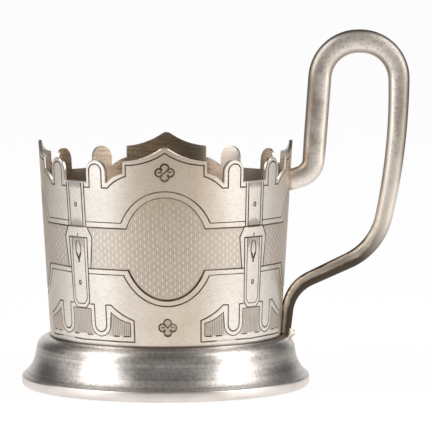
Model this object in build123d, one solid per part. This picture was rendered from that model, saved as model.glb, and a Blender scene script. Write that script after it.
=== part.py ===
from build123d import *
from math import cos, degrees, radians, sin, tan
import os

# Silver tea glass holder: a crenellated sleeve on a spun foot, with one bent handle.
# Millimetres. +Z is up and the origin is the middle of the foot, on the surface it stands on.
# The handle lies along +X and the front of the sleeve faces -Y.

# Sleeve: a sheet rolled into a wall that leans outwards
SLEEVE_FOOT_RADIUS = 32.05  # outside, where the wall stands on the ledge of the foot
SLEEVE_LEAN = 3.37          # degrees from upright
SLEEVE_SHEET = 0.9          # thickness of the sheet
RIM_LEVEL = 44.55           # from the ledge up to the notches and valleys of the rim

# Rim: a gable on each quarter, and a merlon on either side of each strap notch.
# Widths are measured round the wall, heights from the rim level.
GABLE_COUNT = 4
GABLE_WIDTH = 23.5          # from step to step
GABLE_PEAK = 10.15          # where the two flanks meet, before the tip is rounded
GABLE_TIP_RADIUS = 2.2
GABLE_FLANK_SAG = 0.95      # hollow of each flank
GABLE_SHOULDER = 5.85       # corner at the top of each step
GABLE_STEP = 3.2            # upright step below the shoulder
VALLEY_CROWN = 0.4          # swell of the curve that runs from each step down to the valley
MERLON_WIDTH = 6.4
MERLON_HEIGHT = 6.1
STRAP_WIDTH = 8.6           # notch over each strap

# Foot: a spun skirt on an upright band
FOOT_HEIGHT = 13.9          # from the table up to the ledge
FOOT_SHEET = 1.0            # thickness of the skirt
LEDGE_MARGIN = 0.25         # flat of the ledge outside the wall
LEDGE_LAP = 2.5             # flat of the ledge under the floor disc
SHOULDER_RADIUS = 3.6
WAIST_LEAN = 10.0           # degrees from upright
WAIST_HEIGHT = 2.2          # straight stretch below the shoulder
COVE_REACH = 3.6            # from the waist out to the lip
BAND_HEIGHT = 3.0
BAND_WIDTH = 2.6
BAND_STEP = 0.15            # how far the band stands out past the lip
BAND_TOP_BEVEL = 0.3
BAND_FOOT_BEVEL = 0.65

# Floor disc
FLOOR_SHEET = 0.8
FLOOR_CLEARANCE = 0.05      # between the disc and the inside of the wall

# Handle: a tapering bar. Heights are measured from the ledge of the foot.
ARM_HEIGHT = 42.9           # where the middle of the upper arm enters the wall
ARM_REACH = 6.25            # from the wall out to the bend of the upper arm
ARM_RISE = 2.2
ARM_BEND = 5.3
LOOP_HEIGHT = 81.5          # middle of the bar, over the loop
LOOP_LEAN = 2.65            # how far the inner leg leans out as it rises
LOOP_WIDTH = 21.2           # between the middles of the two legs
LOOP_BEND = 10.6
GRIP_HEIGHT = 51.7          # slight bend of the outer leg
GRIP_BEND = 170.0
SWAN_HEIGHT = 24.2          # where the outer leg turns in towards the foot
SWAN_INSET = 5.9
SWAN_BEND = 17.6
HEEL_HEIGHT = 12.8          # where the tail turns down beside the wall
HEEL_GAP = 1.6              # from the wall to the middle of the tail at the heel
HEEL_BEND = 10.8
TAIL_GAP = 1.25             # from the wall to the middle of the tail on the ledge
BAR_BEVEL = 0.95            # bevel along the four edges of the bar
ARM_WIDTH = 5.9             # widths of the bar in the plane of the handle
LEG_WIDTH = 6.4
LOOP_BAR_WIDTH = 6.5
GRIP_WIDTH = 5.6
SWAN_WIDTH = 4.45
HEEL_WIDTH = 3.9
TAIL_WIDTH = 2.8
LOOP_THICKNESS = 4.8        # thicknesses of the bar across the plane of the handle
TAIL_THICKNESS = 3.2
TOE_REACH = 4.0             # from the wall out to the tip of the toe
TOE_WIDTH = 2.4
TOE_HEIGHT = 1.7            # over the ledge, beside the bar
TOE_SINK = 1.2              # below the ledge, into the shoulder
TOE_TIP = 0.8               # height of the tip, which is level with the ledge below

ledge_z = FOOT_HEIGHT
rim_z = ledge_z + RIM_LEVEL
peak_z = rim_z + GABLE_PEAK
sheet_across = SLEEVE_SHEET / cos(radians(SLEEVE_LEAN))


def wall_radius(z):
    """Outside radius of the sleeve at a height."""
    return SLEEVE_FOOT_RADIUS + (z - ledge_z) * tan(radians(SLEEVE_LEAN))


def across(arc):
    """Distance seen straight across, of a length measured round the rim."""
    radius = wall_radius(rim_z)
    return radius * sin(arc / radius)


def gable_prism():
    """The gable that is kept at the front, with the curves down to its valleys."""
    radius = wall_radius(rim_z)
    quarter = radius * radians(360 / GABLE_COUNT)
    valley = across((quarter - STRAP_WIDTH) / 2 - MERLON_WIDTH)
    step = across(GABLE_WIDTH / 2)
    shoulder_z = rim_z + GABLE_SHOULDER
    with BuildSketch(Plane.XZ) as outline:
        with BuildLine():
            Line((0, rim_z - GABLE_STEP), (valley, rim_z - GABLE_STEP))
            Line((valley, rim_z - GABLE_STEP), (valley, rim_z))
            SagittaArc((valley, rim_z), (step, shoulder_z - GABLE_STEP), -VALLEY_CROWN)
            Line((step, shoulder_z - GABLE_STEP), (step, shoulder_z))
            SagittaArc((step, shoulder_z), (0, peak_z), GABLE_FLANK_SAG)
            Line((0, peak_z), (0, rim_z - GABLE_STEP))
        make_face()
        mirror(about=Plane.YZ)
        fillet(outline.vertices().sort_by(Axis.Y)[-1], GABLE_TIP_RADIUS)
    return extrude(outline.sketch, 2 * radius)


def merlon_prism():
    """A round-topped merlon that is kept at the front."""
    radius = wall_radius(rim_z)
    half = MERLON_WIDTH / 2
    spring_z = rim_z + MERLON_HEIGHT - half
    with BuildSketch(Plane.XZ) as outline:
        with BuildLine():
            Polyline((-half, spring_z), (-half, rim_z - half), (half, rim_z - half), (half, spring_z))
            ThreePointArc((half, spring_z), (0, spring_z + half), (-half, spring_z))
        make_face()
    return extrude(outline.sketch, 2 * radius)


def sleeve():
    """Tapering wall, with everything above the rim level cut away but the gables and merlons."""
    top_radius = wall_radius(peak_z)
    with BuildSketch(Plane.XZ) as section:
        with BuildLine():
            Polyline(
                (SLEEVE_FOOT_RADIUS, ledge_z),
                (top_radius, peak_z),
                (top_radius - sheet_across, peak_z),
                (SLEEVE_FOOT_RADIUS - sheet_across, ledge_z),
                close=True,
            )
        make_face()
    blank = revolve(section.sketch, Axis.Z)

    waste_height = peak_z - rim_z
    waste_inside = SLEEVE_FOOT_RADIUS - sheet_across
    ring = Cylinder(top_radius + SLEEVE_SHEET, waste_height) - Cylinder(waste_inside, waste_height)
    waste = Pos(0, 0, rim_z + waste_height / 2) * ring

    pitch = 360 / GABLE_COUNT
    strap_to_merlon = degrees((STRAP_WIDTH + MERLON_WIDTH) / 2 / wall_radius(rim_z))
    gable = gable_prism()
    merlon = merlon_prism()
    for index in range(GABLE_COUNT):
        strap_angle = (index + 0.5) * pitch
        waste -= Rot(0, 0, index * pitch) * gable
        waste -= Rot(0, 0, strap_angle - strap_to_merlon) * merlon
        waste -= Rot(0, 0, strap_angle + strap_to_merlon) * merlon
    return blank - waste


def corner_run(radius):
    """Length that a rounding of the shoulder takes from the ledge and from the waist."""
    return radius * tan(radians(90 - WAIST_LEAN) / 2)


def shoulder_corner():
    """Where the ledge and the waist would meet in the section, if the shoulder were not rounded."""
    return Vector(SLEEVE_FOOT_RADIUS + LEDGE_MARGIN + corner_run(SHOULDER_RADIUS), ledge_z)


def cove():
    """Arc of the section from the foot of the waist out to the lip."""
    lean = radians(WAIST_LEAN)
    down = Vector(sin(lean), -cos(lean))
    waist = shoulder_corner() + down * (corner_run(SHOULDER_RADIUS) + WAIST_HEIGHT)
    return TangentArc(waist, (waist.X + COVE_REACH, BAND_HEIGHT), tangent=down)


def foot_envelope():
    """The foot's outside as a filled solid: ledge, shoulder, waist and cove."""
    with BuildSketch(Plane.XZ) as section:
        with BuildLine():
            flare = cove()
            Polyline(flare @ 1, (0, BAND_HEIGHT), (0, ledge_z), shoulder_corner(), flare @ 0)
        make_face()
        fillet(outermost(section.vertices(), ledge_z), SHOULDER_RADIUS)
    return revolve(section.sketch, Axis.Z)


def sheet_inside(curve, share):
    """Point that lies the thickness of the skirt inside a curve of the section."""
    way = curve % share
    return curve @ share + Vector(way.Y, -way.X) * FOOT_SHEET


def foot_hollow():
    """Hollow under the skirt, in straight stretches that keep close to an even thickness."""
    flare = cove()
    half = radians(90 - WAIST_LEAN) / 2
    corner = shoulder_corner() - Vector(corner_run(FOOT_SHEET), FOOT_SHEET)
    lip = sheet_inside(flare, 1)
    with BuildSketch(Plane.XZ) as section:
        with BuildLine():
            Polyline(
                (0, lip.Y),
                lip,
                sheet_inside(flare, 0.5),
                sheet_inside(flare, 0),
                corner,
                (0, corner.Y),
                close=True,
            )
        make_face()
        bevel = (SHOULDER_RADIUS - FOOT_SHEET) * (1 / cos(half) - 1) / sin(half)
        chamfer(outermost(section.vertices(), corner.Y), bevel)
    return revolve(section.sketch, Axis.Z)


def outermost(corners, height):
    """The outermost corner of a section at a height, in the section's own plane."""
    return corners.sort_by(lambda corner: (-abs(corner.Y - height), corner.X))[-1]


def floor_radius():
    """The floor disc fits inside the foot of the wall."""
    return SLEEVE_FOOT_RADIUS - sheet_across - FLOOR_CLEARANCE


def foot_skirt(envelope):
    """Spun skirt, open below, with a round hole through its ledge."""
    hole = Cylinder(floor_radius() - LEDGE_LAP, 4 * FOOT_SHEET)
    return envelope - foot_hollow() - Pos(0, 0, ledge_z) * hole


def foot_rim():
    """Upright band that the skirt stands on."""
    outside = (cove() @ 1).X + BAND_STEP
    with BuildSketch(Plane.XZ) as section:
        with Locations((outside - BAND_WIDTH / 2, BAND_HEIGHT / 2)):
            Rectangle(BAND_WIDTH, BAND_HEIGHT)
        chamfer(outermost(section.vertices(), BAND_HEIGHT), BAND_TOP_BEVEL)
        chamfer(outermost(section.vertices(), 0), BAND_FOOT_BEVEL)
    return revolve(section.sketch, Axis.Z)


def floor_disc():
    """Plate on the ledge, on which the tea glass stands."""
    return Pos(0, 0, ledge_z + FLOOR_SHEET / 2) * Cylinder(floor_radius(), FLOOR_SHEET)


def handle_path():
    """Middle of the bar, from inside the wall, round the loop and down into the foot."""
    arm_z = ledge_z + ARM_HEIGHT
    bend_x = wall_radius(arm_z) + ARM_REACH
    slope = ARM_RISE / ARM_REACH
    root_x = wall_radius(arm_z) - ARM_WIDTH / 2
    inner_x = bend_x + LOOP_LEAN
    outer_x = inner_x + LOOP_WIDTH
    heel_z = ledge_z + HEEL_HEIGHT
    heel_x = wall_radius(heel_z) + HEEL_GAP
    tail_x = SLEEVE_FOOT_RADIUS + TAIL_GAP
    points = [
        (root_x, arm_z - slope * ARM_WIDTH / 2),
        (bend_x, arm_z + ARM_RISE),
        (inner_x, ledge_z + LOOP_HEIGHT),
        (outer_x, ledge_z + LOOP_HEIGHT),
        (outer_x, ledge_z + GRIP_HEIGHT),
        (outer_x - SWAN_INSET, ledge_z + SWAN_HEIGHT),
        (heel_x, heel_z),
        (tail_x, ledge_z - TOE_SINK),
    ]
    radii = [ARM_BEND, LOOP_BEND, LOOP_BEND, GRIP_BEND, SWAN_BEND, HEEL_BEND]
    return FilletPolyline(*[(x, 0, z) for x, z in points], radius=radii)


def bar_section(path, share, width, thickness):
    """Bevelled cross-section of the bar at a share of the path's length."""
    plane = Plane(origin=path @ share, x_dir=(0, 1, 0), z_dir=path % share)
    section = Rectangle(thickness, width)
    return plane * chamfer(section.vertices(), BAR_BEVEL)


def toe():
    """Small foot of the tail, drawn out to a tip over the shoulder."""
    heel_x = SLEEVE_FOOT_RADIUS + TAIL_GAP
    tip_x = SLEEVE_FOOT_RADIUS + TOE_REACH
    bar_x = heel_x + TAIL_WIDTH / 2
    with BuildSketch(Plane.XZ) as outline:
        with BuildLine():
            Polyline(
                (heel_x, ledge_z - TOE_SINK),
                (bar_x, ledge_z - TOE_SINK),
                (tip_x, ledge_z),
                (tip_x, ledge_z + TOE_TIP),
                (bar_x, ledge_z + TOE_HEIGHT),
                (heel_x, ledge_z + TOE_HEIGHT),
                close=True,
            )
        make_face()
    return extrude(outline.sketch, TOE_WIDTH / 2, both=True)


def handle(envelope):
    """Tapering bar along the path, coped to the wall and seated on the shoulder."""
    path = handle_path()
    middle = (LOOP_THICKNESS + TAIL_THICKNESS) / 2
    stations = [
        (0.0, ARM_WIDTH, LOOP_THICKNESS),
        (0.1, LEG_WIDTH, LOOP_THICKNESS),
        (0.33, LOOP_BAR_WIDTH, LOOP_THICKNESS),
        (0.5, GRIP_WIDTH, LOOP_THICKNESS),
        (0.8, SWAN_WIDTH, middle),
        (0.9, HEEL_WIDTH, middle),
        (1.0, TAIL_WIDTH, TAIL_THICKNESS),
    ]
    sections = [bar_section(path, *station) for station in stations]
    bar = sweep(sections, path=path, multisection=True)
    cone_height = peak_z - ledge_z
    wall = Cone(SLEEVE_FOOT_RADIUS, wall_radius(peak_z), cone_height)
    solid = bar + toe()
    solid -= Pos(0, 0, ledge_z + cone_height / 2) * wall
    return solid - envelope


def build():
    envelope = foot_envelope()
    return {
        "sleeve": sleeve(),
        "foot_skirt": foot_skirt(envelope),
        "foot_rim": foot_rim(),
        "floor_disc": floor_disc(),
        "handle": handle(envelope),
    }


os.makedirs("parts", exist_ok=True)
for name, shape in build().items():
    export_step(shape, f"parts/{name}.step")
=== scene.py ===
"""Looks of a silver tea glass holder: an engraved sleeve, a bent handle and a spun foot."""

from math import asin, atan2, copysign, cos, degrees, hypot, pi, radians, sin, sqrt, tan

import bmesh
import bpy
import numpy as np
from mathutils import Euler, Matrix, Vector
from mathutils.geometry import delaunay_2d_cdt


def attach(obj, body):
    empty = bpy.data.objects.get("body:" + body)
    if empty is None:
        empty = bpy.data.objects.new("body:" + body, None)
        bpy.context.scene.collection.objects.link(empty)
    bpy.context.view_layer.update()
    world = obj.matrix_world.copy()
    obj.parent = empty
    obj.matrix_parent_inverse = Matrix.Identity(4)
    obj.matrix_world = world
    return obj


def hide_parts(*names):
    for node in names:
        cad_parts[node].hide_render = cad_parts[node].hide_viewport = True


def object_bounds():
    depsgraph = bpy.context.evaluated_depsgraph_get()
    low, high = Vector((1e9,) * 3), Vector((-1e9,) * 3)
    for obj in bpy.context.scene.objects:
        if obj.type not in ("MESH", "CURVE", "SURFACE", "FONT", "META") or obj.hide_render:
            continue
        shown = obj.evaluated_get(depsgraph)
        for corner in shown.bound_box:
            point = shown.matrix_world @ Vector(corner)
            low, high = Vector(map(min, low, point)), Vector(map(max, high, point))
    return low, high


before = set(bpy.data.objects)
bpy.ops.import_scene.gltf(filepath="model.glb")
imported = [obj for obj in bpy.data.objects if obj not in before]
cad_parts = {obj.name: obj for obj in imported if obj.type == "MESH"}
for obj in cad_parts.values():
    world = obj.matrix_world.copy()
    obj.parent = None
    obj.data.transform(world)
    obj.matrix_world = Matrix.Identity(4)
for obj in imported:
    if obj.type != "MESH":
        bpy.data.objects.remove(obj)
cad_low, cad_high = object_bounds()
scene = bpy.context.scene

MM = 0.001

# Sleeve, in millimetres: a sheet rolled into a wall that leans outwards.
# Places on the wall are (s, z): s is the length round the wall at ROLL_RADIUS, measured from the
# middle of a gable, and z is the height above the table.
LEDGE_Z = 13.9
FOOT_RADIUS = 32.05
LEAN = radians(3.37)
SHEET = 0.9
RIM_Z = 58.45
ROLL_RADIUS = 33.6
GABLE_COUNT = 4
QUARTER = 2 * pi * ROLL_RADIUS / GABLE_COUNT
STRAP_S = QUARTER / 2
SEAM_S = -QUARTER / 4
RIM_BEVEL = 0.22
LAYOUT_TURN = radians(1.6)   # the engraved layout drifts round by this much from the rim to the base

# Rim, as it is cut: widths across the front, heights above the rim level
GABLE_STEP_X = 11.53
GABLE_PEAK = 10.15
GABLE_TIP_RADIUS = 2.2
GABLE_FLANK_SAG = 0.95
GABLE_SHOULDER = 5.85
GABLE_STEP = 3.2
VALLEY_X = 15.9
VALLEY_CROWN = 0.4
MERLON_WIDTH = 6.4
MERLON_HEIGHT = 6.1
MERLON_S = 19.12

# Engraved lines: width and depth of the cut
FINE = (0.28, 0.1)
LINE = (0.38, 0.14)
LEAF = (0.48, 0.16)
BOLD = (0.6, 0.2)

# Border line inside the rim
BORDER_APEX_Z = 66.65
BORDER_SHOULDER = (10.3, 63.3)
BORDER_STEP = (10.35, 60.3)
BORDER_VALLEY = (15.6, 57.0)
BORDER_FLANK_SAG = 0.85
ARCH_S = 19.25
ARCH_HALF = 1.92
ARCH_TOP_Z = 63.4

# Band round the wall, and the medallion that it runs into
BAND_OUTER_Z = (47.6, 33.44)
BAND_INNER_Z = (46.11, 34.85)
MEDALLION_Z = 40.73
MEDALLION_OUTER = (13.5, 15.55)
MEDALLION_INNER = (11.55, 13.93)

# Strap, measured from its own axis
STRAP_HALF = 3.25
STRAP_INNER_HALF = 2.35
STRAP_SIDE_S = STRAP_S - STRAP_HALF
STRAP_HOLE_Z = (52.15, 30.9)
STRAP_HOLE = (0.36, 0.55)
BUCKLE_TOP = (3.6, 46.2)
BUCKLE_CORNER = (5.1, 43.3)
BUCKLE_FOOT = (4.2, 34.85)
WINDOW = (3.4, 43.2)
TICK_Z = (44.3, 43.3)
TONGUE_NECK = (0.34, 42.3)
TONGUE_WIDEST = (0.95, 40.0)
TONGUE_DARK = (0.62, 38.7)
TONGUE_TIP = (0.1, 37.3)
TONGUE_TAIL_Z = 36.5
TONGUE_SAGS = (0.15, 0.25)
SHADE_OFFSETS = (0.35, 0.95, 1.55, 2.0)   # short strokes that shade the strap where it bends
SHADE_TOP = (1.0, 1.3, 1.2, 0.9)
SHADE_LOW = (1.9, 1.6, 1.2, 0.8)
SHADE_WINDOW = (0.6, 1.2, 1.9, 2.4)
SHADE_RIM_GAP = 0.25
SHADE_GAP = 0.3
STRAP_END = ((3.1, 25.7), (1.8, 24.0))
STRAP_INNER_END = ((2.35, 26.5), (1.35, 25.1))

# Lower border: upright, curve, round-ended tongue
UPRIGHT_S = 9.45
UPRIGHT_TOP_Z = 21.2
LOW_CURVE_END = (16.2, 25.2)
LOW_CURVE_SAG = 0.4
TONGUE_S = 19.75
U_HALF = 1.9
U_BOTTOM_Z = 17.82
U_TOP_Z = 25.15
BASE_LINE_Z = 15.31
FIELD_S = 10.6
FIELD_TOP_Z = 20.4
FIELD_CURVE_END = (16.3, 23.2)
FIELD_BOTTOM_Z = 16.8
U_OUTER_HALF = 3.15
U_OUTER_BOTTOM_Z = 16.6
STRAP_FIELD_TOP_Z = 23.85
DASH = 1.7
DASH_GAP = 1.3
DASH_INSET = 0.4

# Quatrefoils on the gable's axis
FLOWER_Z = (61.4, 19.4)
FLOWER_REACH = (1.38, 1.22)
FLOWER_LOBE = 1.08
FLOWER_SWEEP = 128          # degrees of a leaf's outline to each side of its direction
FLOWER_UNDER = (230, 310)   # and of the bolder stretch under it
FLOWER_SLASH = (0.88, 0.72)
FLOWER_POINT = ((-0.82, 0.78), (0.0, -0.06), (0.82, 0.78))
FLOWER_CURLS = ((-0.85, 0.08), (-1.7, 0.02)), ((0.85, 0.1), (1.7, 0.22))

# Weave in the medallion and the band: short upright ridges, every other column half a step off
WEAVE_COLUMNS = 46
WEAVE_PITCH = QUARTER / WEAVE_COLUMNS
WEAVE_ROW = 1.85
RIDGE_HALF_WIDTH = 0.16
RIDGE_HALF_LENGTH = 0.72
RIDGE_HEIGHT = 0.05
RIDGE_SLOPE = 0.3    # share of a ridge's own slope in its shading
HATCH_PITCH = QUARTER / 96
HATCH = (0.2, 0.06)
HATCH_EDGE_GAP = 0.3
HATCH_FOOT_GAP = 0.35
HATCH_TONGUE_GAP = 0.15
HATCH_SHORTEST = 1.0

WALL_STEP = 1.5     # spacing of plain points round the wall
WALL_ROW = 2.6      # and up the wall
JOIN = 0.003        # points nearer than this are one
MITRE_LEAST = 0.5   # keeps the mitre of a sharp corner short
LINE_CLEAR = 0.35   # plain points and ridges keep this far from lines and edges
WEAVE_CLEAR = 0.4   # and plain points this far from the weave
WEAVE_EDGE = 0.1    # the woven tone starts this far inside its outline
SEAM_REACH = 1.0    # lines this far beyond a seam are kept


def wall_radius(z):
    return FOOT_RADIUS + (z - LEDGE_Z) * tan(LEAN)


def rolled(x, z):
    """Place on the wall of a point that lies x across the front of a gable or merlon."""
    return ROLL_RADIUS * asin(x / wall_radius(z))


def arc(start, end, sag, steps):
    """Points from start to end on a circle, bowed by sag to the left of the way."""
    start, end = np.array(start, float), np.array(end, float)
    chord = end - start
    length = hypot(*chord)
    left = np.array([-chord[1], chord[0]]) / length
    share = np.linspace(0, 1, steps + 1)[:, None]
    if abs(sag) < JOIN:
        return start + chord * share
    radius = (length * length / 4 + sag * sag) / (2 * sag)
    half = asin(length / 2 / abs(radius))
    turn = (share * 2 - 1) * half
    along = np.sin(turn) * abs(radius)
    rise = (np.cos(turn) - cos(half)) * radius
    return (start + end) / 2 + along * chord / length + rise * left


def unit(way):
    return way / hypot(*way)


def ellipse(centre, half_width, half_height, start, end, steps):
    """Points on an ellipse between two angles in degrees, from +s towards +z."""
    angle = np.radians(np.linspace(start, end, steps + 1))
    return np.stack([centre[0] + half_width * np.cos(angle), centre[1] + half_height * np.sin(angle)], 1)


def circle(centre, radius, start, end, steps):
    return ellipse(centre, radius, radius, start, end, steps)


def joined(*parts):
    """One polyline from several, without repeated points."""
    points = np.vstack([np.atleast_2d(np.array(part, float)) for part in parts])
    step = np.hypot(*np.diff(points, axis=0).T)
    return points[np.concatenate([[True], step > JOIN])]


def left_of(way):
    """Unit vector to the left of each way."""
    way = way / np.hypot(way[:, :1], way[:, 1:])
    return np.stack([-way[:, 1], way[:, 0]], 1)


def offset(points, distance):
    """The polyline moved to the left of its way, with mitred corners."""
    left = left_of(np.diff(points, axis=0))
    before = np.vstack([left[:1], left])
    after = np.vstack([left, left[-1:]])
    mitre = before + after
    mitre /= np.maximum((mitre * before).sum(1, keepdims=True), MITRE_LEAST)
    return points + mitre * distance


def half_rim():
    """Cut edge of the wall from the middle of a gable to the middle of a strap."""
    peak = np.array([0, RIM_Z + GABLE_PEAK])
    shoulder = np.array([GABLE_STEP_X, RIM_Z + GABLE_SHOULDER])
    chord = peak - shoulder
    length = hypot(*chord)
    flank_radius = (length * length / 4 + GABLE_FLANK_SAG ** 2) / (2 * GABLE_FLANK_SAG)
    out = np.array([chord[1], -chord[0]]) / length
    centre = (peak + shoulder) / 2 + out * (flank_radius - GABLE_FLANK_SAG)
    tip_z = centre[1] - sqrt((flank_radius + GABLE_TIP_RADIUS) ** 2 - centre[0] ** 2)
    tip_turn = degrees(atan2(centre[1] - tip_z, centre[0]))
    tip = circle((0, tip_z), GABLE_TIP_RADIUS, 90, tip_turn, 5)
    chord = shoulder - tip[-1]
    sag = flank_radius - sqrt(flank_radius ** 2 - chord @ chord / 4)
    flank = arc(tip[-1], shoulder, -sag, 14)
    step_foot = (GABLE_STEP_X, RIM_Z + GABLE_SHOULDER - GABLE_STEP)
    valley = arc(step_foot, (VALLEY_X, RIM_Z), VALLEY_CROWN, 6)
    gable = np.array([(rolled(x, z), z) for x, z in joined(tip, flank, valley)])
    half = MERLON_WIDTH / 2
    spring_z = RIM_Z + MERLON_HEIGHT - half
    top = circle((0, spring_z), half, 180, 0, 14)
    merlon = joined((-half, RIM_Z), top, (half, RIM_Z))
    merlon = np.array([(MERLON_S + rolled(x, z), z) for x, z in merlon])
    return joined(gable, merlon, (STRAP_S, RIM_Z))


def mirrored(points, axis):
    """The polyline mirrored about an upright line, with its way kept from left to right."""
    return np.stack([2 * axis - points[:, 0], points[:, 1]], 1)[::-1]


def quarter_rim():
    """Cut edge over one quarter, from seam to seam, and the same edge moved in by the bevel."""
    half = half_rim()
    whole = joined(mirrored(half, 0), half, mirrored(half, STRAP_S))
    first, last = np.searchsorted(whole[:, 0], (SEAM_S, SEAM_S + QUARTER))
    height = np.interp(SEAM_S, *whole[first - 1:first + 1].T)
    outline = joined((SEAM_S, height), whole[first:last], (SEAM_S + QUARTER, height))
    longer = np.vstack([outline[-2:-1] - (QUARTER, 0), outline, outline[1:2] + (QUARTER, 0)])
    return outline, offset(longer, -RIM_BEVEL)[1:-1]


def stroke(weight, *points):
    """Engraved line through points, with its width and depth."""
    return np.array(points, float), weight


def border_lines():
    """Line that follows the rim: gable, valley and merlon, down to the side of the strap."""
    flank = arc((0, BORDER_APEX_Z), BORDER_SHOULDER, -BORDER_FLANK_SAG, 14)
    valley = arc(BORDER_STEP, BORDER_VALLEY, VALLEY_CROWN, 6)
    arch = circle((ARCH_S, ARCH_TOP_Z - ARCH_HALF), ARCH_HALF, 180, 0, 12)
    ends = ARCH_S - ARCH_HALF, ARCH_S + ARCH_HALF, STRAP_SIDE_S
    left, right, side = [(s, BORDER_VALLEY[1]) for s in ends]
    return [(joined(flank, valley, left, arch, right, side), LINE)]


def medallion_lines():
    """Two outlines of the medallion, and the lines of the band that run into it."""
    lines = []
    for size, heights, (above, beside, below) in (
        (MEDALLION_OUTER, BAND_OUTER_Z, (LINE, FINE, LINE)),
        (MEDALLION_INNER, BAND_INNER_Z, (FINE, LINE, BOLD)),
    ):
        upper, lower = [degrees(asin((z - MEDALLION_Z) / size[1])) for z in heights]
        top = ellipse((0, MEDALLION_Z), *size, 90, upper, 26)
        bottom = ellipse((0, MEDALLION_Z), *size, lower, -90, 26)
        lines += [
            (top, above),
            stroke(beside, top[-1], (STRAP_SIDE_S, heights[0])),
            stroke(beside, (STRAP_SIDE_S, heights[1]), bottom[0]),
            (bottom, below),
        ]
    return lines


def on_strap(*points):
    """Places on the wall of points measured from the strap's axis towards the gable."""
    return [(STRAP_S - half, z) for half, z in points]


def strap_shade_lines():
    """Short strokes under the rim, over the buckle and in its window."""
    lines = []
    starts = RIM_Z - RIM_BEVEL - SHADE_RIM_GAP, BUCKLE_TOP[1] + SHADE_GAP, WINDOW[1] - SHADE_GAP
    for half, under, over, window in zip(SHADE_OFFSETS, SHADE_TOP, SHADE_LOW, SHADE_WINDOW):
        for z, rise in zip(starts, (-under, over, -window)):
            lines.append(stroke(HATCH, *on_strap((half, z), (half, z + rise))))
    return lines


def strap_lines():
    """Strap, buckle and tongue, for the half of the strap towards the gable."""
    def cut(weight, *points):
        return stroke(weight, *on_strap(*points))

    neck, widest, tip = on_strap(TONGUE_NECK, TONGUE_WIDEST, TONGUE_TIP)
    upper_sag, lower_sag = TONGUE_SAGS
    tongue = joined(arc(neck, widest, -upper_sag, 6), arc(widest, tip, -lower_sag, 7))
    top_z = RIM_Z - RIM_BEVEL - JOIN - LINE[0] / 2
    buckle_z, window_z = BUCKLE_TOP[1], WINDOW[1]
    lines = [cut(LINE, (half, top_z), (half, buckle_z)) for half in (STRAP_HALF, STRAP_INNER_HALF)]
    lines += [
        cut(LINE, (0, buckle_z), BUCKLE_TOP, BUCKLE_CORNER, BUCKLE_FOOT),
        cut(BOLD, (0, buckle_z), (STRAP_INNER_HALF, buckle_z)),
        cut(LINE, (0, window_z), WINDOW, *STRAP_END, (0, STRAP_END[1][1])),
        cut(FINE, (STRAP_INNER_HALF, window_z), *STRAP_INNER_END, (0, STRAP_INNER_END[1][1])),
        (tongue, LINE),
        cut(BOLD, TONGUE_DARK, TONGUE_TIP),
    ]
    return lines + [(ellipse((STRAP_S, z), *STRAP_HOLE, 90, 270, 8), LINE) for z in STRAP_HOLE_Z]


def strap_axis_lines():
    """Lines on the axis of the strap itself."""
    lines = (LINE, TICK_Z), (BOLD, (TONGUE_TIP[1], TONGUE_TAIL_Z))
    return [stroke(weight, *[(STRAP_S, z) for z in ends]) for weight, ends in lines]


def tongue_end(half, bottom_z, steps):
    """Round lower end of the tongue, or of the outline round it."""
    return circle((TONGUE_S, bottom_z + half), half, 180, 360, steps)


def field_outline():
    """Outline of the hatched field, from its lower corner round the tongue to the strap."""
    curve = arc((FIELD_S, FIELD_TOP_Z), FIELD_CURVE_END, -LOW_CURVE_SAG, 8)
    tongue = tongue_end(U_OUTER_HALF, U_OUTER_BOTTOM_Z, 16)
    top = [(s, STRAP_FIELD_TOP_Z) for s in (TONGUE_S + U_OUTER_HALF, STRAP_S)]
    return joined((FIELD_S, FIELD_BOTTOM_Z), curve, tongue, top)


def low_lines():
    """Lower border, its fields, the base line and the broken line over it."""
    foot = (UPRIGHT_S, BASE_LINE_Z)
    curve = arc((UPRIGHT_S, UPRIGHT_TOP_Z), LOW_CURVE_END, -LOW_CURVE_SAG, 8)
    tongue = tongue_end(U_HALF, U_BOTTOM_Z, 12)
    ends = TONGUE_S - U_HALF, TONGUE_S + U_HALF, STRAP_SIDE_S
    before, after, side = [(s, U_TOP_Z) for s in ends]
    lines = [(joined(foot, curve, before, tongue, after, side), LINE), (field_outline(), FINE)]
    lines.append(stroke(LINE, foot, (STRAP_S, BASE_LINE_Z)))
    left, right = TONGUE_S - U_OUTER_HALF, TONGUE_S + U_OUTER_HALF
    for s, end in ((FIELD_S + DASH_INSET, left), (right, STRAP_S)):
        while s + DASH / 2 < end:
            lines.append(stroke(LINE, (s, FIELD_BOTTOM_Z), (min(s + DASH, end), FIELD_BOTTOM_Z)))
            s += DASH + DASH_GAP
    return lines


def hatch_lines():
    """Fine upright lines that fill the fields of the lower border."""
    edge = field_outline()
    low = FIELD_BOTTOM_Z + HATCH_FOOT_GAP
    lines = []
    for index in range(int(STRAP_S / HATCH_PITCH)):
        s = (index + 0.5) * HATCH_PITCH
        if s < FIELD_S + HATCH_EDGE_GAP or abs(s - TONGUE_S) < U_OUTER_HALF + HATCH_TONGUE_GAP:
            continue
        crossing = [z0 + (z1 - z0) * (s - s0) / (s1 - s0)
                    for (s0, z0), (s1, z1) in zip(edge[:-1], edge[1:]) if min(s0, s1) <= s < max(s0, s1)]
        top = max(crossing) - HATCH_EDGE_GAP
        if top - low > HATCH_SHORTEST:
            lines.append(stroke(HATCH, (s, low), (s, top)))
    return lines


def flower_leaves():
    """Middle and direction of each leaf of the quatrefoils."""
    return [(np.array([cos(radians(turn)), sin(radians(turn))]) * FLOWER_REACH + (0, z), turn)
            for z in FLOWER_Z for turn in (0, 90, 180, 270)]


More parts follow.
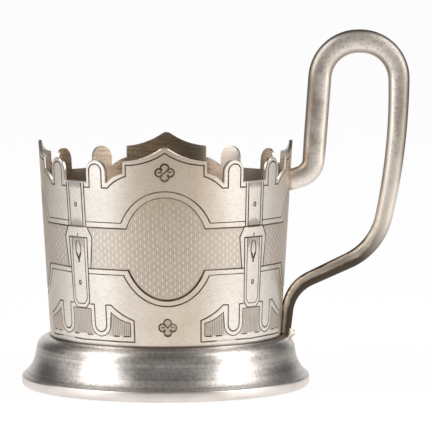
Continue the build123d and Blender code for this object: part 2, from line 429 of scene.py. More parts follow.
def flower_lines():
    """Four outlined leaves and two curls for each quatrefoil, bolder underneath.

    A slash crosses the upper one, and the top leaf of the lower one comes to a point in the middle.
    """
    lines = []
    for middle, turn in flower_leaves():
        weight = LEAF if middle[1] > MEDALLION_Z else LINE
        lines.append((circle(middle, FLOWER_LOBE, turn - FLOWER_SWEEP, turn + FLOWER_SWEEP, 14), weight))
        if turn in (0, 270):
            lines.append((circle(middle, FLOWER_LOBE, *FLOWER_UNDER, 6), BOLD))
    upper, lower = FLOWER_Z
    slash = np.array(FLOWER_SLASH)
    lines.append((np.array([-slash, slash]) + (0, upper), LEAF))
    lines.append((np.array(FLOWER_POINT) + (0, lower), LINE))
    for z, weight in ((upper, LINE), (lower, FINE)):
        lines += [(np.array(curl) + (0, z), weight) for curl in FLOWER_CURLS]
    return lines


def folded(s):
    """Places round the wall, brought into the half pattern from gable to strap."""
    return np.abs(np.where(s > STRAP_S, QUARTER - s, s))


def buckle_half(z):
    """Half the width of the buckle at a height inside the band."""
    halves, heights = zip(BUCKLE_FOOT, BUCKLE_CORNER, BUCKLE_TOP)
    return np.interp(z, heights, halves)


def in_weave(s, z, margin):
    """Whether places lie in the woven field, by more than a margin."""
    s = folded(s)
    half_width, half_height = np.array(MEDALLION_INNER) - margin
    medallion = (s / half_width) ** 2 + ((z - MEDALLION_Z) / half_height) ** 2 < 1
    band = (z < BAND_INNER_Z[0] - margin) & (z > BAND_INNER_Z[1] + margin)
    return medallion | (band & (s < STRAP_S - buckle_half(z) - margin))


def weave_ridges():
    """Middles of the ridges of the weave over one quarter."""
    places = []
    first = round(SEAM_S / WEAVE_PITCH + 0.5)
    rows = int(MEDALLION_INNER[1] / WEAVE_ROW) + 1
    for column in range(first, first + WEAVE_COLUMNS):
        for row in range(-rows, rows + 1):
            s = column * WEAVE_PITCH
            z = MEDALLION_Z + (column % 2) * WEAVE_ROW / 2 + row * WEAVE_ROW
            ends = np.array([z - RIDGE_HALF_LENGTH, z + RIDGE_HALF_LENGTH])
            if in_weave(np.array([s, s]), ends, LINE_CLEAR).all():
                places.append((s, z))
    return np.array(places)


def copies(lines):
    """A half pattern repeated over one quarter: as drawn, and mirrored about gable and strap."""
    whole = []
    for points, weight in lines:
        for copy in (points, mirrored(points, 0), mirrored(points, STRAP_S)):
            s = copy[:, 0]
            if s.max() > SEAM_S - SEAM_REACH and s.min() < SEAM_S + QUARTER + SEAM_REACH:
                whole.append((copy, weight))
    return whole


def distance_to(points, line):
    """Distance of each point from a polyline."""
    best = np.full(len(points), np.inf)
    for a, b in zip(line[:-1], line[1:]):
        way = b - a
        share = np.clip((points - a) @ way / (way @ way), 0, 1)
        gap = points - a - share[:, None] * way
        best = np.minimum(best, np.hypot(gap[:, 0], gap[:, 1]))
    return best


def near(points, line, reach):
    """Which points lie in the box round a polyline."""
    low, high = line.min(0) - reach, line.max(0) + reach
    return np.flatnonzero(((points > low) & (points < high)).all(1))


def cut_depth(points, lines):
    """Depth of the engraving at each point."""
    depth = np.zeros(len(points))
    for line, (width, deep) in lines:
        close = near(points, line, width)
        if len(close):
            share = 1 - distance_to(points[close], line) / (width / 2)
            depth[close] = np.maximum(depth[close], deep * np.clip(share, 0, 1))
    return depth


def inside(points, outline):
    """Which points lie inside a closed outline."""
    odd = np.zeros(len(points), bool)
    s, z = points.T
    for (s0, z0), (s1, z1) in zip(outline, np.roll(outline, -1, axis=0)):
        if z0 != z1:
            crosses = (z0 > z) != (z1 > z)
            odd ^= crosses & (s < s0 + (z - z0) * (s1 - s0) / (z1 - z0))
    return odd


def plain_points(outline, lines):
    """Even points over the plain wall, clear of the engraving."""
    low, high = outline.min(0), outline.max(0)
    count = round(QUARTER / WALL_STEP)
    s = SEAM_S + (np.arange(count) + 0.5) * QUARTER / count
    z = np.arange(low[1] + WALL_ROW / 2, high[1], WALL_ROW)
    points = np.stack(np.meshgrid(s, z), -1).reshape(-1, 2)
    keep = inside(points, outline) & ~in_weave(*points.T, -WEAVE_CLEAR)
    for line, (width, _) in lines:
        close = near(points, line, width + LINE_CLEAR)
        keep[close] &= distance_to(points[close], line) > width / 2 + LINE_CLEAR
    keep &= distance_to(points, np.vstack([outline, outline[:1]])) > LINE_CLEAR
    return points[keep]


def filled(outline, chains, loose):
    """Points, triangles and set heights of a flat mesh that fills an outline.

    It keeps the edges of chains of points, each given with whether it is closed and with its height.
    """
    points, edges, heights = [], [], []
    for chain, closed, height in [(outline, True, 0), *chains]:
        first = len(points)
        points += map(tuple, chain)
        heights += [height] * len(chain)
        last = len(points) - 1
        edges += [(i, i + 1) for i in range(first, last)]
        if closed:
            edges.append((last, first))
    points += map(tuple, loose)
    heights += [0] * len(loose)
    made = delaunay_2d_cdt(points, edges, [], 0, 1e-6)
    flat = np.array([tuple(v) for v in made[0]])
    faces = np.array(made[2])
    faces = faces[inside(flat[faces].mean(1), outline)]
    height = np.array([max([0.0, *(heights[i] for i in origins)]) for origins in made[3]])
    used, index = np.unique(faces, return_inverse=True)
    return flat[used], index.reshape(-1, 3), height[used]


def quarter_outline(rim):
    """Closed outline of a quarter of the wall: cut edge, seam, foot and seam."""
    count = round(QUARTER / WALL_STEP)
    foot = np.stack([np.linspace(SEAM_S + QUARTER, SEAM_S, count + 1), np.full(count + 1, LEDGE_Z)], 1)
    return np.vstack([rim, foot])


def flat_quarter(rim, lines=(), ridges=()):
    """One face of a quarter of the wall, laid flat: its points, triangles and set heights."""
    outline = quarter_outline(rim)
    chains = []
    for line, (width, _) in lines:
        left, right = offset(line, width / 2), offset(line, -width / 2)
        start = line[0] - unit(line[1] - line[0]) * width / 2
        end = line[-1] + unit(line[-1] - line[-2]) * width / 2
        chains += [(np.vstack([start, left, end, right[::-1]]), True, 0), (line, False, 0)]
    size = RIDGE_HALF_WIDTH, RIDGE_HALF_LENGTH
    lens = np.array([(0, -1), (1, -0.5), (1, 0.5), (0, 1), (-1, 0.5), (-1, -0.5)]) * size
    spine = np.array([(0, -0.5), (0, 0.5)]) * size
    for place in ridges:
        chains += [(lens + place, True, 0), (spine + place, False, RIDGE_HEIGHT)]
    return filled(outline, chains, plain_points(outline, lines))


def on_wall(flat, out, turn):
    """Places in space of flat points that lie out from the wall's outside."""
    s, z = flat.T
    drift = LAYOUT_TURN * np.clip((RIM_Z - z) / (RIM_Z - LEDGE_Z), 0, 1)
    angle = s / ROLL_RADIUS + drift + turn
    radius = wall_radius(z) + out / cos(LEAN)
    return np.stack([radius * np.sin(angle), -radius * np.cos(angle), z], 1) * MM


def in_field(points):
    """Which places lie in the hatched fields or in a leaf of a quatrefoil."""
    s, z = points.T
    field = inside(np.stack([folded(s), z], 1), joined(field_outline(), (STRAP_S, FIELD_BOTTOM_Z)))
    for middle, _ in flower_leaves():
        field |= np.hypot(*(points - middle).T) < FLOWER_LOBE
    return field


WALL, CUT, GROUND, RIDGE, INSIDE, EDGE, STROKE, FIELD = range(8)


def sleeve_mesh():
    """Mesh of the engraved sleeve, with a material number for each face."""
    cut_edge, rim = quarter_rim()
    half = border_lines() + medallion_lines() + strap_lines() + low_lines()
    lines = copies(half) + strap_axis_lines() + flower_lines()
    strokes = copies(hatch_lines() + strap_shade_lines())
    outer, outer_faces, height = flat_quarter(rim, lines + strokes, weave_ridges())
    inner, inner_faces, _ = flat_quarter(cut_edge)

    height = np.where(height == 0, -cut_depth(outer, lines + strokes), height)
    middle = outer[outer_faces].mean(1)
    kind = np.full(len(outer_faces), WALL)
    kind[in_weave(*middle.T, WEAVE_EDGE)] = GROUND
    kind[in_field(middle)] = FIELD
    kind[(height[outer_faces] > JOIN).any(1)] = RIDGE
    kind[cut_depth(middle, strokes) > 0] = STROKE
    kind[cut_depth(middle, lines) > 0] = CUT

    points, faces, kinds = [], [], []

    def take(places, shapes, marks):
        base = sum(map(len, points))
        points.append(places)
        faces.extend((shapes + base).tolist())
        kinds.extend(marks)

    foot = quarter_outline(rim)[len(rim):]
    rows = (rim, 0), (cut_edge, -RIM_BEVEL), (cut_edge, -SHEET)
    strips = rows[:2], rows[1:], ((foot, 0), (foot, -SHEET))
    for index in range(GABLE_COUNT):
        turn = index * 2 * pi / GABLE_COUNT
        take(on_wall(outer, height, turn), outer_faces, kind)
        take(on_wall(inner, -SHEET, turn), inner_faces[:, ::-1], [INSIDE] * len(inner_faces))
        for first, second in strips:
            count = len(first[0])
            quads = np.array([(i, i + 1, count + i + 1, count + i) for i in range(count - 1)])
            take(np.vstack([on_wall(*first, turn), on_wall(*second, turn)]), quads, [EDGE] * len(quads))
    return np.vstack(points), faces, kinds


def new_object(name, data):
    made = bpy.data.objects.new(name, data)
    scene.collection.objects.link(made)
    return made


def mesh_object(name, points, faces, materials, kinds=None):
    """Smooth object from points and faces, welded and with its faces turned outwards."""
    mesh = bpy.data.meshes.new(name)
    mesh.from_pydata(points.tolist(), [], faces)
    for material in materials:
        mesh.materials.append(material)
    if kinds:
        mesh.polygons.foreach_set("material_index", kinds)
    mesh.polygons.foreach_set("use_smooth", [True] * len(faces))
    work = bmesh.new()
    work.from_mesh(mesh)
    bmesh.ops.remove_doubles(work, verts=work.verts, dist=JOIN * MM)
    bmesh.ops.recalc_face_normals(work, faces=work.faces)
    work.to_mesh(mesh)
    work.free()
    return new_object(name, mesh)


def read(items, name, width=1, kind=np.int32):
    """One property of all items, in rows where it has several values."""
    values = np.zeros(len(items) * width, kind)
    items.foreach_get(name, values)
    return values.reshape(-1, width) if width > 1 else values


def wall_normals(mesh):
    """Normals of the true wall on plain faces, and flat ones in the cuts and on the edges."""
    place = read(mesh.vertices, "co", 3, float)[read(mesh.loops, "vertex_index")]
    corners = read(mesh.polygons, "loop_total")
    normal = np.repeat(read(mesh.polygons, "normal", 3, float), corners, axis=0)
    kind = np.repeat(read(mesh.polygons, "material_index"), corners)
    round_out = place[:, :2] / np.hypot(place[:, :1], place[:, 1:2])
    true = np.column_stack([round_out * cos(LEAN), np.full(len(place), -sin(LEAN))])
    smooth = np.isin(kind, (WALL, GROUND, FIELD))
    normal[smooth] = true[smooth]
    ridge = kind == RIDGE
    normal[ridge] = RIDGE_SLOPE * normal[ridge] + (1 - RIDGE_SLOPE) * true[ridge]
    normal[kind == INSIDE] = -true[kind == INSIDE]
    mesh.normals_split_custom_set(normal.tolist())


# Handle, in millimetres: the middle of a tapering bar, and its sections
ARM_Z = 56.8
ARM_REACH = 6.25
ARM_RISE = 2.2
LOOP_Z = 95.4
LOOP_LEAN = 2.65
LOOP_WIDTH = 21.2
GRIP_Z = 65.6
SWAN_Z = 38.1
SWAN_INSET = 5.9
HEEL_Z = 26.7
HEEL_GAP = 1.6
TAIL_GAP = 1.25
BENDS = (5.3, 10.6, 10.6, 170.0, 17.6, 10.8)
BAR_BEVEL = 0.95
BEVEL_SHARE = 0.6    # most of the half width or thickness that a bevel takes
FACE_SHARES = (0.12, 0.3, 0.5, 0.7, 0.88)   # where the points of a face of the bar lie across it
BAR_SINK = 0.35      # the ends of the bar go this far into the wall and the foot
BAR_SHARES = (0.0, 0.1, 0.33, 0.5, 0.8, 0.9, 1.0)
BAR_WIDTHS = (5.9, 6.4, 6.5, 5.6, 4.45, 3.9, 2.8)
BAR_THICKNESSES = (4.8, 4.8, 4.8, 4.8, 4.0, 4.0, 3.2)
BAR_ROUNDNESS = (0.8, 0.8, 0.8, 0.85, 0.95, 1.0, 0.95)
BAR_STEP = 0.6
BEND_DENSITY = 4     # points of a bend to each step, before they are spaced evenly
BAR_SKIN = 0.996     # the bar's skin lies this close to its full size
TOE_REACH = 4.0
TOE_WIDTH = 2.4
TOE_HEIGHT = 1.7
TOE_SINK = 1.2
TOE_TIP = 0.8
TOE_SAG = 0.15
TOE_SOFT = 0.25
TOE_TONE = (-0.5, 0.75)   # place on the bar, outwards and along it, whose tone the toe takes


def run_length(points):
    """Length along a polyline at each of its points."""
    return np.concatenate([[0], np.cumsum(np.hypot(*np.diff(points, axis=0).T))])


def fillet_path(points, radii, step):
    """Even points along a polyline whose corners are rounded."""
    parts = [points[:1]]
    for before, corner, after, radius in zip(points[:-2], points[1:-1], points[2:], radii):
        a, b = unit(before - corner), unit(after - corner)
        half = np.arccos(np.clip(a @ b, -1, 1)) / 2
        turn = pi - 2 * half
        side = np.sign(a[1] * b[0] - a[0] * b[1])
        centre = corner + unit(a + b) * radius / sin(half)
        x, z = corner + a * radius / tan(half) - centre
        first = degrees(atan2(z, x))
        count = max(2, int(turn * radius / step * BEND_DENSITY))
        parts.append(circle(centre, radius, first, first + degrees(turn) * side, count))
    dense = joined(*parts, points[-1])
    length = run_length(dense)
    at = np.linspace(0, length[-1], int(length[-1] / step) + 1)
    return np.stack([np.interp(at, length, line) for line in dense.T], 1)


def handle_path():
    """Middle of the bar in the plane of the handle, from the wall to the foot."""
    arm_x = wall_radius(ARM_Z)
    bend_x = arm_x + ARM_REACH
    slope = ARM_RISE / ARM_REACH
    inner_x = bend_x + LOOP_LEAN
    outer_x = inner_x + LOOP_WIDTH
    points = np.array([
        (arm_x - BAR_SINK, ARM_Z - slope * BAR_SINK),
        (bend_x, ARM_Z + ARM_RISE),
        (inner_x, LOOP_Z),
        (outer_x, LOOP_Z),
        (outer_x, GRIP_Z),
        (outer_x - SWAN_INSET, SWAN_Z),
        (wall_radius(HEEL_Z) + HEEL_GAP, HEEL_Z),
        (FOOT_RADIUS + TAIL_GAP, LEDGE_Z - BAR_SINK),
    ])
    return fillet_path(points, BENDS, BAR_STEP)


def bar_section(half_width, half_thickness, roundness):
    """Points round the bar: between a bevelled section and an oval."""
    bevel = min(BAR_BEVEL, half_width * BEVEL_SHARE, half_thickness * BEVEL_SHARE)
    flat_width, flat_thickness = half_width - bevel, half_thickness - bevel
    half = np.array([(half_width, -flat_thickness), (half_width, flat_thickness),
                     (flat_width, half_thickness), (-flat_width, half_thickness)])
    corners = np.vstack([half, -half])
    ways = np.roll(corners, -1, axis=0) - corners
    points = np.vstack([corner + way * share for corner, way in zip(corners, ways) for share in FACE_SHARES])
    scale = np.hypot(points[:, 0] / half_width, points[:, 1] / half_thickness)
    oval = points / scale[:, None]
    return points + (oval - points) * roundness


def toe_mesh():
    """Small foot of the tail, drawn out to a thin tip over the shoulder."""
    tip_x = FOOT_RADIUS + TOE_REACH
    heel_x = FOOT_RADIUS + TAIL_GAP
    bar_x = heel_x + BAR_WIDTHS[-1] / 2
    top_z, low_z = LEDGE_Z + TOE_HEIGHT, LEDGE_Z - TOE_SINK
    top = joined((heel_x, top_z), arc((bar_x, top_z), (tip_x, LEDGE_Z + TOE_TIP), -TOE_SAG, 4))
    outline = joined(top, (tip_x, LEDGE_Z), (bar_x, low_z), (heel_x, low_z))
    half = TOE_WIDTH / 2
    rings = []
    for y, inset in ((-half, TOE_SOFT), (TOE_SOFT - half, 0), (half - TOE_SOFT, 0), (half, TOE_SOFT)):
        ring = outline.copy()
        ring[:len(top), 1] -= inset
        rings.append(np.column_stack([ring[:, 0], np.full(len(ring), y), ring[:, 1]]))
    return skin(rings)


def skin(rings, turned=False):
    """Points and faces over rings of points, with end faces, or turned back to the first ring."""
    count, total = len(rings[0]), len(rings)
    faces = []
    for ring in range(total if turned else total - 1):
        low, high = ring * count, (ring + 1) % total * count
        for i in range(count):
            j = (i + 1) % count
            faces.append((low + i, low + j, high + j, high + i))
    if not turned:
        faces += [tuple(range(first, first + count)) for first in (0, (total - 1) * count)]
    return np.vstack(rings), faces


def handle_mesh():
    """Swept bar: points and faces, and how far out and how far along each point lies."""
    path = handle_path()
    length = run_length(path)
    share = length / length[-1]
    sizes = [np.interp(share, BAR_SHARES, size) for size in (BAR_WIDTHS, BAR_THICKNESSES, BAR_ROUNDNESS)]
    rings, outer = [], []
    for place, out, width, thickness, roundness in zip(path, left_of(np.gradient(path, axis=0)), *sizes):
        half_width = width / 2 * BAR_SKIN
        section = bar_section(half_width, thickness / 2 * BAR_SKIN, roundness)
        flat = place + section[:, :1] * out
        rings.append(np.column_stack([flat[:, 0], section[:, 1], flat[:, 1]]))
        outer.append(section[:, 0] / half_width)
    root = rings[0]
    root[:, 0] = np.sqrt(wall_radius(root[:, 2]) ** 2 - root[:, 1] ** 2) - BAR_SINK
    points, faces = skin(rings)
    along = np.repeat(share, len(root))
    return points, faces, np.concatenate(outer), along


# Foot rim, in millimetres: a turned ring with a soft upper edge and a rounder lower one
RING_RADIUS = -cad_low[0] / MM
RING_WIDTH = 2.6
RING_HEIGHT = 3.0
RING_TOP_ROUND = 0.5
RING_FOOT_ROUND = 1.1
RING_STEPS = 240


def ring_mesh():
    """Points and faces of the ring: its section of (radius, height), turned about the upright axis."""
    foot, top, inner = RING_FOOT_ROUND, RING_TOP_ROUND, RING_RADIUS - RING_WIDTH
    low = circle((RING_RADIUS - foot, foot), foot, -90, 0, 8)
    high = circle((RING_RADIUS - top, RING_HEIGHT - top), top, 0, 90, 6)
    radius, z = joined((inner, 0), low, high, (inner, RING_HEIGHT)).T
    turns = np.arange(RING_STEPS) * 2 * pi / RING_STEPS
    return skin([np.column_stack([radius * cos(a), radius * sin(a), z]) for a in turns], turned=True)


# Materials: tones, and the wear of the handle along its length, 0 where it is rubbed bright and 1 where
# the outside of the bar is dull
TAN = (0.62, 0.46, 0.3)
WOVEN_LIGHT = (0.9, 0.83, 0.75)
WOVEN_WORN = (0.72, 0.64, 0.55)
CUT_WORN = (0.5, 0.43, 0.36)
CLEAN_INSIDE = (0.76, 0.7, 0.625)
BAR_TAN = (0.9, 0.74, 0.56)
WEAR = ((0.0, 0.0), (0.05, 0.1), (0.1, 0.9), (0.21, 0.95), (0.28, 0.12), (0.37, 0.12), (0.45, 0.8),
        (0.55, 0.6), (0.66, 0.2), (0.72, 0.0))


def set_inputs(node, inputs):
    """Inputs of a node from values or from outputs of other nodes."""
    for key, value in inputs.items():
        if isinstance(value, bpy.types.NodeSocket):
            node.id_data.links.new(value, node.inputs[key])
        else:
            node.inputs[key].default_value = value


def add(tree, kind, inputs=None, **settings):
    node = tree.nodes.new("ShaderNode" + kind)
    for name, value in settings.items():
        setattr(node, name, value)
    set_inputs(node, inputs or {})
    return node


def sums(operation, first, second=0.0, third=0.0):
    inputs = {0: first, 1: second, 2: third}
    return add(first.id_data, "Math", inputs, operation=operation).outputs[0]


def times(first, *others):
    for other in others:
        first = sums("MULTIPLY", first, other)
    return first


def ranged(value, low, high, to_low=0.0, to_high=1.0):
    """Value taken smoothly from one range to another."""
    inputs = {"Value": value, "From Min": low, "From Max": high, "To Min": to_low, "To Max": to_high}
    node = add(value.id_data, "MapRange", inputs, interpolation_type="SMOOTHSTEP")
    return node.outputs["Result"]


def within(value, rise, fall):
    """1 between a soft rise and a soft fall, and 0 beyond them."""
    return times(ranged(value, *rise), ranged(value, *fall, 1.0, 0.0))


def object_place(tree):
    return add(tree, "TexCoord").outputs["Object"]


def split(place):
    """X, Y and Z of a place."""
    return add(place.id_data, "SeparateXYZ", {"Vector": place}).outputs


def noise(tree, scale, detail=4.0, stretch=(1, 1, 1), place=None):
    """Cloudy values over the object, or over another place; scale is in clouds per metre."""
    place = place or object_place(tree)
    place = add(tree, "Mapping", {"Vector": place, "Scale": stretch}).outputs["Vector"]
    inputs = {"Vector": place, "Scale": scale, "Detail": detail}
    return add(tree, "TexNoise", inputs).outputs["Fac"]


def ramp(value, stops):
    """Value taken through a few (place, height) stops."""
    node = add(value.id_data, "ValToRGB", {"Fac": value})
    marks = node.color_ramp.elements
    while len(marks) < len(stops):
        marks.new(1.0)
    for mark, (place, height) in zip(marks, stops):
        mark.position = place
        mark.color = (height, height, height, 1)
    return node.outputs["Color"]


def mixed(share, first, second):
    """Colour between two colours, each one a value or an output."""
    def colour(value):
        return value if isinstance(value, bpy.types.NodeSocket) else (*value, 1)

    inputs = {"Factor": share, "A": colour(first), "B": colour(second)}
    return add(share.id_data, "Mix", inputs, data_type="RGBA").outputs["Result"]


def surface(tree):
    return tree.nodes["Principled BSDF"]


def new_material(name, metallic=1.0):
    material = bpy.data.materials.new(name)
    material.use_nodes = True
    set_inputs(surface(material.node_tree), {"Metallic": metallic})
    return material, material.node_tree


def brush_round(tree, share, turn=0.0):
    """Gloss drawn out by brush marks that run round the upright axis."""
    tangent = add(tree, "Tangent", direction_type="RADIAL", axis="Z").outputs["Tangent"]
    set_inputs(surface(tree), {"Anisotropic": share, "Anisotropic Rotation": turn, "Tangent": tangent})


def finished(material, colour, grain, roughness, depth):
    """The material with its colour, uneven gloss and the relief of a fine grain."""
    tree = material.node_tree
    gloss = ranged(noise(tree, 90.0, 3.0), 0.3, 0.7, *roughness)
    relief = add(tree, "Bump", {"Height": grain, "Distance": depth}).outputs["Normal"]
    set_inputs(surface(tree), {"Base Color": colour, "Roughness": gloss, "Normal": relief})
    return material


def woven_tone(tree, colour, dark):
    """Darker between the ridges' ends, on the cross threads and beside the columns; lighter on columns."""
    x, y, z = split(object_place(tree))
    angle = sums("ARCTAN2", x, times(y, -1.0))
    drift = LAYOUT_TURN / (RIM_Z - LEDGE_Z)
    angle = sums("ADD", angle, sums("MULTIPLY_ADD", z, drift / MM, -drift * RIM_Z))
    across = sums("COSINE", times(angle, 2.0 * WEAVE_COLUMNS))
    turns = 2 * pi / WEAVE_ROW
    up = sums("COSINE", sums("MULTIPLY_ADD", z, turns / MM, -turns * MEDALLION_Z))
    gaps = ranged(times(across, up), -0.15, -0.9, 0.0, 0.28)
    threads = ranged(sums("ABSOLUTE", up), 0.5, 0.0, 0.0, 0.34)
    colour = mixed(sums("MAXIMUM", gaps, threads), colour, dark)
    column = sums("ABSOLUTE", across)
    grooves = ranged(sums("ABSOLUTE", sums("SUBTRACT", column, 0.6)), 0.3, 0.0, 0.0, 0.25)
    colour = mixed(grooves, colour, dark)
    strands = ranged(column, 0.35, 0.0, 0.0, 0.25)
    strands = sums("MAXIMUM", strands, ranged(column, 0.8, 1.0, 0.0, 0.16))
    colour = mixed(strands, colour, WOVEN_LIGHT)
    rubbed = ranged(noise(tree, 640.0, 2.0), 0.45, 0.62, 0.0, 0.4)
    return mixed(rubbed, colour, WOVEN_WORN)


def strap_shade(wave, height):
    """How much the strap is shaded: under the rim, over the buckle and in the buckle's window."""
    def between(low, high, to_low, to_high):
        return ranged(height, low * MM, high * MM, to_low, to_high)

    strap = ranged(wave, -0.955, -0.985)
    over_z, window_z = BUCKLE_TOP[1], WINDOW[1]
    over = times(between(over_z + 0.5, over_z + 2.8, 1.0, 0.0), between(over_z - 0.1, over_z + 0.1, 0.0, 1.0))
    window = times(between(window_z - 4.5, window_z - 0.5, 0.0, 0.8),
                   between(window_z - 0.1, window_z + 0.1, 1.0, 0.0))
    shade = sums("ADD", sums("ADD", over, window), between(RIM_Z - 2.4, RIM_Z - 0.4, 0.0, 1.0))
    return times(strap, shade)


def satin_silver(name, clean, warm, dark, roughness, woven=False):
    """Brushed silver warmer round the gables, with small stains, and dirt and painted crease shade at the
    very foot.
    """
    material, tree = new_material(name)
    brush_round(tree, 0.2)
    x, y, height = split(object_place(tree))
    # 1 on the upright line through a gable, -1 on the line through a strap
    wave = sums("COSINE", times(sums("ARCTAN2", x, y), float(GABLE_COUNT)))
    cloud = ranged(noise(tree, 45.0), 0.35, 0.7)
    warm = mixed(ranged(height, 41 * MM, RIM_Z * MM, 0.0, 0.85), warm, TAN)
    warm_share = sums("MULTIPLY_ADD", cloud, 0.5, 0.5)
    colour = mixed(times(ranged(wave, -0.7, 1.0), warm_share), clean, warm)
    stain = ranged(noise(tree, 420.0, 6.0), 0.58, 0.8, 0.0, 0.35)
    brushed = ranged(noise(tree, 900.0, 6.0, (1, 1, 2.2)), 0.45, 0.7, 0.0, 0.22)
    colour = mixed(sums("MAXIMUM", stain, brushed), colour, dark)
    colour = mixed(times(strap_shade(wave, height), 0.6), colour, (0.3, 0.275, 0.25))
    # Dirt and painted crease shade: the wall is darkened nearly to black just above where it meets the foot
    grime_and_crease_shade = ranged(height, (LEDGE_Z + 0.1) * MM, (LEDGE_Z + 0.8) * MM, 0.85, 0.0)
    colour = mixed(grime_and_crease_shade, colour, (0.08, 0.06, 0.045))
    if woven:
        colour = woven_tone(tree, colour, dark)
    grain = noise(tree, 2400.0, 3.0, (1, 1, 0.03))
    return finished(material, colour, grain, roughness, 0.000012)


def toned_silver(name, clean, toned, roughness):
    """Silver with toned clouds and a fine even grain."""
    material, tree = new_material(name)
    colour = mixed(ranged(noise(tree, 150.0, 5.0), 0.35, 0.7), clean, toned)
    return finished(material, colour, noise(tree, 3000.0, 3.0), roughness, 0.00001)


def inside_silver(name, brown, painted_light_amber, deep, silver, roughness):
    """Rolled silver with fine level streaks, tea brown by the rim and cleaner lower down.

    A lighter patch by the rim is painted light, and lighter silver on one side is a painted reflection.
    """
    material, tree = new_material(name)
    x, _, z = split(object_place(tree))
    # Painted light: a lighter amber patch near the rim, just to one side of the middle
    stain = times(within(x, (-0.017, -0.01), (-0.005, 0.004)), ranged(z, 0.045, 0.058))
    ground = mixed(stain, brown, painted_light_amber)
    streaks = noise(tree, 1.0, 5.0, (120, 120, 2400))
    colour = mixed(ranged(streaks, 0.35, 0.7, 0.0, 0.85), ground, deep)
    # Painted reflection: lighter silver towards the other side
    colour = mixed(ranged(x, 0.012, 0.021, 0.0, 0.8), colour, silver)
    colour = mixed(ranged(z, 0.028, 0.052, 0.7, 0.0), colour, CLEAN_INSIDE)
    return finished(material, colour, noise(tree, 3000.0, 3.0), roughness, 0.000012)


def patina(name, thin, thick):
    """Dark tone that stays in the cuts, thinner here and there, and rubbed out in a few places."""
    material, tree = new_material(name, 0.5)
    colour = mixed(ranged(noise(tree, 300.0, 5.0), 0.35, 0.65), thick, thin)
    colour = mixed(ranged(noise(tree, 75.0, 3.0), 0.54, 0.7, 0.0, 0.25), colour, CUT_WORN)
    return finished(material, colour, noise(tree, 3000.0), (0.5, 0.65), 0.00001)


def spun_silver(name, clean, toned, roughness):
    """Silver turned on a lathe: fine rings in its relief, and dirt and painted crease shade close to the wall
    it carries.
    """
    material, tree = new_material(name)
    colour = mixed(ranged(noise(tree, 120.0, 5.0), 0.4, 0.75), clean, toned)
    x, y, z = split(object_place(tree))
    radius = sums("SQRT", sums("ADD", times(x, x), times(y, y)))
    # Dirt and painted crease shade: the foot is darkened nearly to black next to the wall
    grime_and_crease_shade = ranged(radius, (FOOT_RADIUS + 0.1) * MM, (FOOT_RADIUS + 0.9) * MM, 0.92, 0.0)
    colour = mixed(grime_and_crease_shade, colour, (0.04, 0.032, 0.028))
    down = sums("SUBTRACT", z, radius)
    track = add(tree, "CombineXYZ", {"X": x, "Y": y, "Z": down}).outputs["Vector"]
    fine = noise(tree, 1.0, 4.0, (60, 60, 3600), track)
    coarse = noise(tree, 1.0, 3.0, (14, 14, 700), track)
    streak = sums("MULTIPLY_ADD", fine, 0.5, ranged(coarse, 0.4, 0.68, 0.0, 0.5))
    speck = ranged(noise(tree, 1100.0, 5.0), 0.4, 0.7, 0.0, 0.4)
    worn = sums("ADD", times(streak, 0.8), speck)
    colour = mixed(worn, colour, (0.42, 0.385, 0.355))
    grain = sums("MULTIPLY_ADD", coarse, 4.0, fine)
    brush_round(tree, 0.55, 0.25)
    return finished(material, colour, grain, roughness, 0.000006)


def handled_silver(name, rubbed, dull, dark):
    """Silver that fingers keep bright inside the loop, dull outside it and dark towards the tail.

    Towards the tail, tarnish and painted shade darken the bar around a painted highlight streak along its
    upper side.
    """
    material, tree = new_material(name)
    outer, along = [add(tree, "Attribute", attribute_name=word).outputs["Fac"]
                    for word in ("outer", "along")]
    cloud = sums("ADD", noise(tree, 260.0, 9.0), -0.5)
    uneven = sums("MULTIPLY_ADD", cloud, 1.6, outer)
    colour = mixed(times(ramp(along, WEAR), ranged(uneven, -0.7, 0.7)), rubbed, dull)
    grain = noise(tree, 1500.0, 8.0)
    specks = times(ranged(grain, 0.42, 0.75, 0.0, 0.45), ranged(along, 0.54, 0.64, 1.0, 0.3),
                   ranged(along, 0.04, 0.09, 0.4, 1.0))
    inner = times(ranged(outer, -0.45, -0.9, 0.0, 0.7), within(along, (0.04, 0.1), (0.62, 0.72)))
    colour = mixed(sums("MAXIMUM", specks, inner), colour, dull)
    loop = within(along, (0.12, 0.3), (0.55, 0.65))
    colour = mixed(times(loop, ranged(outer, 0.4, 0.85, 0.0, 0.5)), colour, dull)
    rim = times(ranged(outer, 0.7, 0.97, 0.0, 0.75), loop)
    # Tarnish and painted shade towards the tail, except a streak along the bar's upper side kept bright as a
    # painted highlight
    across = sums("MULTIPLY_ADD", cloud, 0.6, outer)
    off_painted_highlight = sums("MAXIMUM", ranged(across, -0.33, 0.15), ranged(across, -0.7, -0.95))
    shadow = times(off_painted_highlight, ranged(along, 0.67, 0.79, 0.0, 0.97))
    colour = mixed(ranged(along, 0.62, 0.78, 0.0, 0.35), colour, BAR_TAN)
    colour = mixed(sums("MAXIMUM", shadow, rim), colour, dark)
    colour = mixed(ranged(along, 0.9, 0.98, 0.0, 0.6), colour, dark)
    return finished(material, colour, grain, (0.42, 0.54), 0.000003)


def dress(node, material):
    """A CAD node that is shown as it is, with a material."""
    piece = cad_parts[node]
    piece.data.materials.clear()
    piece.data.materials.append(material)


